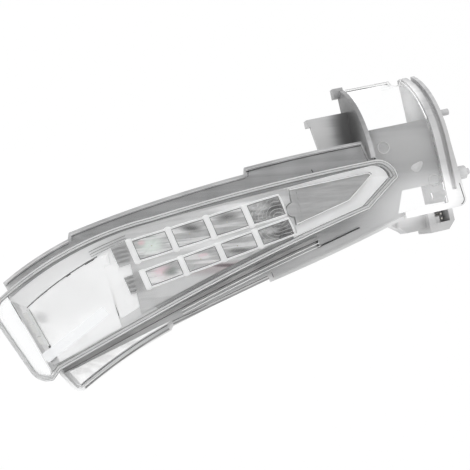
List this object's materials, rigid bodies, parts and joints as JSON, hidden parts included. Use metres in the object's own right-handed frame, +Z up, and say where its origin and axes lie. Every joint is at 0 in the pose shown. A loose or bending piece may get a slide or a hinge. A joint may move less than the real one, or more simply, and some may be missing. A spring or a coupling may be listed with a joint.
{
  "type": "door mirror turn signal lamp",
  "caption": "Slim curved turn signal lamp for a door mirror, with a clear lens, reflector cells, a bent clear wing window and a connector.",
  "frame": {"origin": "centre of the mouth of the main screw boss, on the flat back of the housing", "axes": "X along the lamp from its wrapped outer tip to the wing, Z up across the lamp, -Y the way the lens looks"},
  "size_m": [0.2196, 0.0503, 0.1074],
  "materials": {
    "housing_grey": "fine grained moulded plastic",
    "lens_clear": "polished clear plastic",
    "reflector_bright": "bright metallised plastic",
    "panel_white": "satin white plastic",
    "diffuser_milky": "milky plastic",
    "bar_clear": "polished clear plastic",
    "board_laminate": "coated glass fibre laminate",
    "light_source_cream": "clear resin in a white case",
    "chip_black": "matt moulded case",
    "can_aluminium": "drawn aluminium",
    "screw_steel": "zinc plated steel",
    "terminal_tinned": "tin plated brass",
    "lead_sheath": "flexible sheath",
    "link_film": "flexible film",
    "membrane_white": "woven breathing membrane"
  },
  "bodies": {
    "root": {"housing": "housing_grey", "clear_lens": "lens_clear", "reflector": "reflector_bright", "nose_panel": "panel_white", "diffuser": "diffuser_milky", "light_bar": "bar_clear", "tip_board": "board_laminate", "tip_lights": "light_source_cream", "circuit_board": "board_laminate", "light_sources": "light_source_cream", "driver_chips": "chip_black", "resistors": "chip_black", "capacitor": "can_aluminium", "protection_diode": "chip_black", "board_screws": "screw_steel", "terminals": "terminal_tinned", "return_lead": "lead_sheath", "supply_lead": "lead_sheath", "board_link": "link_film", "vent_membrane": "membrane_white"}
  },
  "joints": []
}
